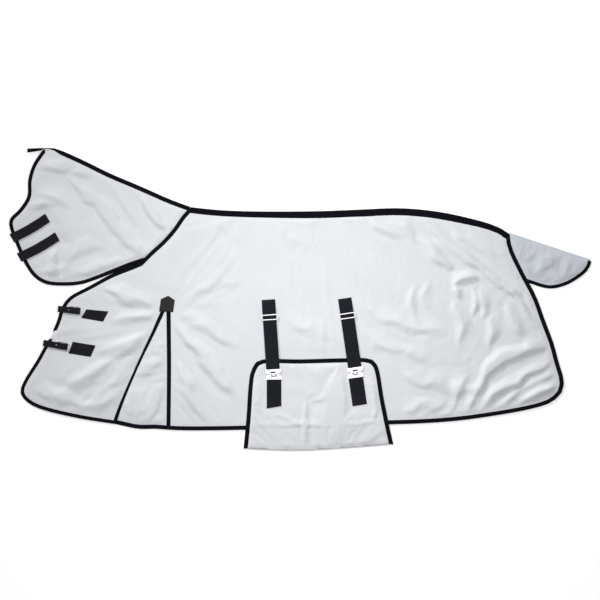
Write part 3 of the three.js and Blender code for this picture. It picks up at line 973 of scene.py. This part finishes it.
def near_presses():
    places = []
    for parts in SURCINGLES.values():
        strap = parts["strap"]
        places.append((strap.at(strap.length / 2), angle_of(strap.along), (strap.length / 2 + 0.02, 0.034),
                       CORRIDOR_LEVEL, 0.08))
    flap = middle("belly_flap_panel")
    places.append((flap, 0, (0.30, 0.185), NEAR_LEVEL, 0.2))
    for place, strap in CHEST.items():
        frame_at = middle(f"chest_buckle_frame_{place}")
        patch_at = middle(f"chest_patch_{place}")
        places.append(((frame_at + patch_at) / 2, angle_of(strap.along), (0.075, 0.022), HARDWARE_LEVEL, 0.1))
    places.append((middle("gusset_patch"), 0, (0.03, 0.03), HARDWARE_LEVEL, 0.1))
    return places


def strap_presses(straps, level):
    return [(strap.at(strap.length / 2), angle_of(strap.along), (strap.length / 2, 0.02), level, 0.1)
            for strap in straps.values()]


def flap_base(x, y):
    """The belly flap's height: over the near side, and lower past its hem."""
    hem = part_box("near_hem_binding")[0].y + 0.012
    past = smooth_step((hem - y) / 0.03)
    return FLAP_LEVEL * (1 - past) + FLAP_FOOT * past


def flap_presses():
    places = []
    for parts in SURCINGLES.values():
        tab = parts["tab"]
        places.append((tab.at(tab.length / 2 - 0.02), angle_of(tab.along), (0.075, 0.03), FLAP_LEVEL, 0.1))
    return places


# Body sheet

def spot(px, py, radius):
    """1 at a place, falling to 0 that far from it."""
    return lambda x, y: 1 - smooth_step(np.hypot(x - px * MM, y - py * MM) / (radius * MM))


def scaled(share, shape):
    return lambda x, y: share * shape(x, y)


def slit_middle(x, y):
    low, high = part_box("near_slit_binding_front")
    return np.sin(math.pi * np.clip((y - low.y - 0.03) / (high.y - low.y - 0.06), 0, 1))


HEMS = ("hem_binding", "front_binding", "slit_binding_rear", "slit_binding_front", "neck_seam_binding")


def body_sheet():
    white_edge = spot(-922, -135, 26)
    near = cloth("near_body_sheet", "near_body_panel", level_at(NEAR_LEVEL), BODY_FOLDS, 1,
                 floor=level_at(NEAR_LEVEL - CLOTH), growth=(0.002, 0.013), loose=BODY_LOOSE,
                 presses=near_presses(), overhang=lambda x, y: 5.5 * MM * white_edge(x, y))
    near_height = surface(near)
    finish_piece(solidified(near, CLOTH), mesh_cloth, "root", ["near_body_panel"])
    off = cloth("off_body_sheet", "off_body_panel", level_at(OFF_LEVEL), [], 2, spacing=COARSE, top=2.6 * MM)
    off_height = surface(off)
    finish_piece(solidified(off, CLOTH), mesh_cloth, "root", ["off_body_panel"])
    for side, sheet, height, under in (("near", near, near_height, "off_body_sheet"),
                                       ("off", off, off_height, "floor")):
        for hem in HEMS:
            node = f"{side}_{hem}"
            changes = {}
            if node == "off_front_binding":
                changes = {"outer_in": scaled(0.62, white_edge)}
            if node == "near_front_binding":
                beside_neck = spot(-650, 110, 110)
                changes = {"outer_in": lambda x, y: 0.62 * white_edge(x, y) - 0.14 * beside_neck(x, y),
                           "sink": scaled(1.6 * MM, white_edge)}
            if node == "near_slit_binding_front":
                changes = {"inner_in": scaled(0.4, slit_middle)}
            if hem == "neck_seam_binding":
                changes = {"outer_in": lambda x, y: np.full(x.shape, -0.14)}
            edge = tape(f"{node}_tape", node, f"{side}_body_panel", height, **changes)
            finish_piece(edge, binding, "root", [node])
    band = tape("spine_band_tape", "spine_band", "near_body_panel", near_height, bottom=0.4 * MM,
                overlap=3.5 * MM,
                inner_in=lambda x, y: -0.24 * smooth_step((x + 0.25) / 0.4) * smooth_step((0.74 - x) / 0.2))
    finish_piece(band, binding, "root", ["spine_band"])


def gussets():
    for side, level in GUSSET_LEVEL.items():
        panel = f"{side}_gusset_panel"
        folds = GUSSET_FOLDS if side == "near" else []
        gusset = cloth(f"{side}_gusset_sheet", panel, level_at(level), folds, 3,
                       floor=level_at(level - CLOTH) if side == "near" else None, growth=(0.008, 0.008),
                       top=12 * MM if side == "near" else level + 0.5 * MM)
        edge = tape(f"{side}_gusset_tape", f"{side}_gusset_binding", panel, surface(gusset))
        finish_piece(solidified(gusset, CLOTH), mesh_cloth, "root", [panel])
        finish_piece(edge, binding, "root", [f"{side}_gusset_binding"])


body_sheet()
gussets()


def apex_patch():
    loop = node_outline("gusset_patch")
    thickness = 1.6 * MM
    flat = level_at(HARDWARE_LEVEL + 0.8 * MM)
    apex = patch("gusset_apex_patch", loop, flat, thickness, thickness)
    finish_piece(apex, leather, "root", ["gusset_patch"])
    sewn("gusset_apex_stitching", inset_lines(loop, 4 * MM), HARDWARE_LEVEL + 2.4 * MM, "root", 0.25 * MM)


apex_patch()


# Neck cover


def bend(obj):
    """Bakes a piece's placement into its points."""
    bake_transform(obj)


def neck_cover():
    seam = tape_sides("near_neck_seam_binding", "near_body_panel")[0]
    poll = spot(-946, 558, 30)

    def overhang(x, y):
        at_seam = distance_to(seam, x, y)[0] < 4 * MM
        return -5.5 * MM * np.maximum(at_seam, poll(x, y))

    near = cloth("neck_near_sheet", "neck_near_panel", level_at(NEAR_LEVEL), NECK_FOLDS, 4,
                 floor=level_at(NEAR_LEVEL - CLOTH), growth=(0.004, 0.012), loose=NECK_LOOSE,
                 presses=strap_presses(NECK, HARDWARE_LEVEL), overhang=overhang)
    off = cloth("neck_off_sheet", "neck_off_panel", level_at(OFF_LEVEL), [], 5, spacing=COARSE, top=2.6 * MM)
    height = surface(near)
    beside_body = spot(-650, 110, 110)
    near_tape = tape("neck_near_tape", "neck_near_binding", "neck_near_panel", height,
                     outer_in=scaled(-0.16, beside_body))
    off_tape = tape("neck_off_tape", "neck_off_binding", "neck_off_panel", surface(off))
    crest = tape("neck_crest_tape", "neck_crest_binding", "neck_near_panel", height, bottom=0.4 * MM,
                 overlap=4.5 * MM, inner_in=scaled(1.27, spot(-932, 556, 62)))
    for obj, finish, stands_for in (
            (near, mesh_cloth, "neck_near_panel"),
            (off, mesh_cloth, "neck_off_panel"),
            (near_tape, binding, "neck_near_binding"),
            (off_tape, binding, "neck_off_binding"),
            (crest, binding, "neck_crest_binding")):
        finish_piece(obj, finish, None, [stands_for])
        bend(obj)
    solidified(near, CLOTH)
    solidified(off, CLOTH)
    tab = patch("poll_tab_tape", node_outline("poll_tab"), level_at(NEAR_LEVEL), 0.8 * MM, TAPE)
    finish_piece(tab, binding, "neck_cover", ["poll_tab"])


neck_cover()


# Tail flap

def tail_flap():
    sheet = cloth("tail_flap_sheet", "tail_flap_panel", level_at(TAIL_LEVEL), TAIL_FOLDS, 6,
                  floor=level_at(TAIL_LEVEL - CLOTH), growth=(0.006, 0.006), spacing=7 * MM, top=13 * MM)
    edge = tape("tail_flap_tape", "tail_flap_binding", "tail_flap_panel", surface(sheet), bottom=0.6 * MM)
    finish_piece(sheet, satin_cloth, None, ["tail_flap_panel"])
    finish_piece(edge, binding, None, ["tail_flap_binding"])
    for obj in (sheet, edge):
        bend(obj)
    solidified(sheet, CLOTH)


tail_flap()


# Belly wrap

def belly_fold(fold):
    """The cloth turned up along the flap's lower edge, from the band to the flap."""
    low, high = BAND_LEVEL, FLAP_FOOT
    half = (high - low) / 2
    turns = np.linspace(-math.pi / 2, math.pi / 2, 9)
    line = resampled(fold, 60)
    out = -left_of(unit(np.gradient(line, axis=0)))
    rows = [np.column_stack([line + out * (half * math.cos(turn) - 0.5 * MM),
                             np.full(len(line), low + half + half * math.sin(turn))]) for turn in turns]
    rows = [np.column_stack([line - out * 3 * MM, np.full(len(line), low)])] + rows
    rows += [np.column_stack([line - out * 3 * MM, np.full(len(line), high)])]
    count = len(line)
    faces = [(j * count + i, j * count + i + 1, (j + 1) * count + i + 1, (j + 1) * count + i)
             for j in range(len(rows) - 1) for i in range(count - 1)]
    turned = new_mesh("belly_fold_cloth", np.concatenate(rows), faces, uv=np.concatenate(rows)[:, :2])
    finish_piece(solidified(turned, CLOTH), mesh_cloth, None)
    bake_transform(turned)
    return turned


def belly_wrap():
    edge_of_band = node_outline("belly_band")
    below_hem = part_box("near_hem_binding")[0].y - 45 * MM
    fold = edge_of_band[edge_of_band[:, 1] < below_hem]
    fold = fold[fold[:, 0].argsort()]
    at_fold = lambda x, y: -5 * MM * (distance_to(fold, x, y)[0] < 9 * MM)
    flap = cloth("belly_flap_sheet", "belly_flap_panel", flap_base, FLAP_FOLDS, 7,
                 floor=lambda x, y: flap_base(x, y) - CLOTH, growth=(0.006, 0.006), spacing=7 * MM,
                 presses=flap_presses(), top=16 * MM, overhang=at_fold)
    edge = tape("belly_flap_tape", "belly_flap_binding", "belly_flap_panel", surface(flap))
    finish_piece(solidified(flap, CLOTH), mesh_cloth, "belly_flap", ["belly_flap_panel"])
    finish_piece(edge, binding, "belly_flap", ["belly_flap_binding"])
    band = cloth("belly_band_sheet", "belly_band", level_at(BAND_LEVEL), [], 8, spacing=COARSE, top=2 * MM,
                 overhang=at_fold)
    finish_piece(solidified(band, CLOTH), mesh_cloth, "root", ["belly_band"])
    belly_fold(fold)


belly_wrap()


# Surcingles

WIRE = 4.4 * MM                 # flattened wire of the sliders and buckles
PRESSED_STEEL = 1.7 * MM
FITTING_WIDTH = 60 * MM         # width of the hooks and catches
TAB_SLANT = {"front": -9 * MM, "rear": -1 * MM}


def surcingle(place):
    parts = SURCINGLES[place]
    strap, tab = parts["strap"], parts["tab"]
    name = f"surcingle_{place}"
    level = (strap.bottom + strap.top) / 2
    sewn_level = CORRIDOR_LEVEL + CLOTH / 2 + WEBBING / 2 + 0.2 * MM
    anchor_length = 12 * MM
    width = strap.width

    profile = [(-anchor_length, sewn_level), (-8 * MM, sewn_level), (0, sewn_level + 0.3 * MM),
               (10 * MM, level - 1.4 * MM), (22 * MM, level - 0.2 * MM), (32 * MM, level)]
    profile += [(u, level) for u in np.arange(0.045, strap.length - 0.012, 0.012)]
    # Past the strap's end the webbing runs on under the hook's plate to the far side of its window: partly
    # the webbing's real end under the plate, partly a dark fill put there as painted shade in the window.
    profile += [(strap.length - 6 * MM, level), (strap.length - 1 * MM, level - 0.5 * MM),
                (strap.length + 15.5 * MM, level - 0.6 * MM)]
    u, z = softened(profile, 90, rounds=1).T
    webbing_strip = ribbon(f"{name}_webbing", np.column_stack([strap.at(u), z]), strap.across, width)
    finish_piece(webbing_strip, webbing, None, [f"{name}_anchor", f"{name}_strap"])
    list(strap.at(-1 * MM))
    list(strap.at(34 * MM))
    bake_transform(webbing_strip)

    box = box_and_cross(strap, -10.5 * MM, -1.5 * MM, width / 2 - 3 * MM)
    sewn(f"{name}_stitching", box, sewn_level + WEBBING / 2, "root")

    slider(f"{name}_slider", strap, (parts["slider"] - strap.start) @ strap.along)
    hook(f"{name}_hook", strap, strap.length + 1.4 * MM)
    catch(f"{name}_catch", tab)

    tab_level = tab.bottom + WEBBING / 2 - 0.4 * MM
    profile = [(-7 * MM, tab_level - 0.7 * MM), (-2 * MM, tab_level - 0.7 * MM),
               (3 * MM, tab_level - 0.4 * MM), (8 * MM, tab_level)]
    profile += [(u, tab_level) for u in np.arange(0.016, tab.length - 4 * MM, 0.01)]
    profile += [(tab.length - 4 * MM, tab_level)]
    u, z = softened(profile, 50, rounds=1).T
    slant = TAB_SLANT[place]
    piece = ribbon(f"{name}_tab_webbing", np.column_stack([tab.at(u), z]), tab.across, tab.width, slant=slant)
    finish_piece(piece, webbing, "belly_flap", [f"{name}_tab"])
    box = box_and_cross(tab, tab.length - 38 * MM, tab.length - 12 * MM, tab.width / 2 - 4 * MM)
    sewn(f"{name}_tab_stitching", box, tab_level + WEBBING / 2, "belly_flap")


def slider(node, strap, u):
    """A wire frame round the webbing: two bars over it, and a middle bar under it."""
    low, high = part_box(node)
    half_across, half_along = 30.5 * MM - WIRE / 2, 11 * MM - WIRE / 2
    top = high.z - 0.9 * MM
    corners = rounded(half_along, half_across, 4 * MM, 7)
    path = [strap.point(u + a, b, top) for a, b in subdivided(corners, 6 * MM)]
    ring = rod(node + "_ring", path, WIRE, 1.9 * MM, ring=True, around=12)
    under = low.z + 0.9 * MM
    inside_edge = strap.width / 2 + 1.2 * MM
    dip = [(-half_across, top), (-half_across + 1 * MM, top - 1 * MM), (-inside_edge, (top + under) / 2),
           (-inside_edge + 0.6 * MM, under + 0.8 * MM), (-inside_edge + 2.5 * MM, under),
           (inside_edge - 2.5 * MM, under), (inside_edge - 0.6 * MM, under + 0.8 * MM),
           (inside_edge, (top + under) / 2), (half_across - 1 * MM, top - 1 * MM), (half_across, top)]
    path = [strap.point(u, v, z) for v, z in softened(dip, 44)]
    bar = rod(node + "_bar", path, 3.4 * MM, 1.7 * MM, up=(*strap.along, 0), around=10)
    piece = joined(node + "_frame", [ring, bar])
    finish_piece(piece, steel, node, [node])


def mirrored(outline, lie, start):
    """A plate's outline in plan, from its left half."""
    whole = outline + [(a, -b) for a, b in reversed(outline)]
    return [lie.at(start + a, b) for a, b in whole]


def hook(node, strap, start):
    """A pressed plate over the webbing's end, with a tongue that hooks into the catch."""
    level = mid_height(node) + 0.4 * MM
    half = FITTING_WIDTH / 2
    outline = [(0, half - 2 * MM), (2 * MM, half), (8 * MM, half), (12.5 * MM, half - 2 * MM),
               (15 * MM, half - 5 * MM), (16.5 * MM, 17 * MM), (17.5 * MM, 12 * MM)]
    outline = mirrored(outline, strap, start)
    window = [strap.at(start + 11.5 * MM + a, b) for a, b in rounded(2.6 * MM, 9 * MM, 2 * MM)]
    body = plate(node + "_plate", [outline, window], level, PRESSED_STEEL)
    tongue = [(15 * MM, level), (19 * MM, level + 1.0 * MM), (24 * MM, level + 1.3 * MM),
              (27 * MM, level + 0.4 * MM), (29 * MM, level - 1.3 * MM), (28 * MM, level - 2.6 * MM),
              (25.5 * MM, level - 2.9 * MM)]
    path = [strap.point(start + a, 0, z) for a, z in softened(tongue, 24)]
    tongue = rod(node + "_tongue", path, 10 * MM, 1.8 * MM, around=12)
    piece = joined(node + "_clip", [body, tongue])
    finish_piece(piece, steel, node, [node])


def catch(node, tab):
    """A pressed plate on the tab's webbing, with an opening that takes the hook's tongue."""
    level = mid_height(node) + 0.5 * MM
    half = FITTING_WIDTH / 2
    outline = [(0.5 * MM, half - 2 * MM), (-1.5 * MM, half), (-8 * MM, half), (-12 * MM, half - 4 * MM),
               (-19 * MM, 20 * MM), (-23 * MM, 14 * MM), (-23.8 * MM, 9 * MM)]
    outline = mirrored(outline, tab, 0)
    opening = [tab.at(-14.5 * MM + a, b) for a, b in rounded(6 * MM, 11 * MM, 3 * MM)]
    piece = plate(node + "_plate", [outline, opening], level, PRESSED_STEEL)
    finish_piece(piece, steel, "belly_flap", [node])


for place in SURCINGLES:
    surcingle(place)


# Straps that come round a front edge from the off side

def edge_strap(node, lie, roots, bow=0.0):
    """Webbing from between the two sides, round the near edge and back along the near side.
    bow is how far its middle bends sideways."""
    thick = 1.5 * MM
    level = lie.top - thick / 2
    profile = [(12 * MM, 3.3 * MM), (5 * MM, 3.3 * MM), (0.5 * MM, 3.4 * MM), (-2.4 * MM, 4.4 * MM),
               (-3.2 * MM, 6.2 * MM), (-3.0 * MM, level - 2 * MM), (-1.6 * MM, level - 0.5 * MM),
               (2 * MM, level)]
    profile += [(u, level) for u in np.arange(0.008, lie.length, 0.01)] + [(lie.length, level)]
    u, z = softened(profile, 64).T
    aside = bow * np.sin(math.pi * np.clip(u / lie.length, 0, 1))
    piece = ribbon(node + "_webbing", np.column_stack([lie.at(u, aside), z]), lie.across, lie.width, thick)
    finish_piece(piece, webbing, None, roots)
    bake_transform(piece)
    return level


def neck_straps():
    for place, lie in NECK.items():
        node = f"neck_strap_{place}"
        level = edge_strap(node, lie, [node, node + "_root"], bow=-4 * MM)
        loop = node_outline(node + "_loop_patch")
        pad = patch(node + "_loop_pad", loop, level_at(HARDWARE_LEVEL + CLOTH / 2), 1.4 * MM, 1.2 * MM)
        finish_piece(pad, loops, "neck_cover", [node + "_loop_patch"])
        box = box_and_cross(lie, 6 * MM, 30 * MM, lie.width / 2 - 4 * MM)
        end = box_and_cross(lie, lie.length * 0.55, lie.length - 4 * MM, lie.width / 2 - 3 * MM)[:4]
        sewn(node + "_stitching", box + end, level + 0.75 * MM, node)


def chest_fasteners():
    for place, lie in CHEST.items():
        node = f"chest_strap_{place}"
        edge_strap(node, lie, [node, node + "_root"])
        buckle(place, lie)
        loop = node_outline(f"chest_patch_{place}")
        pad = patch(f"chest_patch_{place}_pad", loop, level_at(HARDWARE_LEVEL + CLOTH / 2), 1.6 * MM,
                    1.5 * MM)
        finish_piece(pad, webbing, "root", [f"chest_patch_{place}"])
        sewn(f"chest_patch_{place}_stitching", inset_lines(loop, 3.5 * MM),
             HARDWARE_LEVEL + CLOTH / 2 + 1.6 * MM, "root")


def buckle(place, lie):
    """A double-window frame, and a prong whose tip comes up through the strap."""
    node = f"chest_buckle_frame_{place}"
    level = mid_height(node)
    reach = (middle(node) - lie.start) @ lie.along
    half_along, half_across = 25 * MM - WIRE / 2, 16.5 * MM - WIRE / 2
    corners = rounded(half_along, half_across, 4.5 * MM, 6)
    path = [lie.point(reach + a, b, level) for a, b in subdivided(corners, 6 * MM)]
    ring = rod(node + "_ring", path, WIRE, 2.0 * MM, ring=True, around=12)
    path = [lie.point(reach, v, level) for v in np.linspace(-half_across, half_across, 6)]
    bar = rod(node + "_bar", path, 3.6 * MM, 1.8 * MM, around=12)
    piece = joined(node + "_ring_and_bar", [ring, bar])
    finish_piece(piece, steel, "root", [node])

    prong_node = f"chest_buckle_prong_{place}"
    level = mid_height(prong_node)
    profile = [(0, level), (-6 * MM, level), (-14 * MM, level),
               (-18 * MM, level + 0.3 * MM), (-20.5 * MM, level + 2.0 * MM), (-22 * MM, level + 3.8 * MM)]
    path = [lie.point(reach + u, 0, z) for u, z in softened(profile, 26)]
    prong = rod(prong_node + "_wire", path, 3.0 * MM, 1.7 * MM, around=10, up=(0.02, 0.0, 1.0))
    finish_piece(prong, steel, f"chest_prong_{place}", [prong_node])


neck_straps()
chest_fasteners()
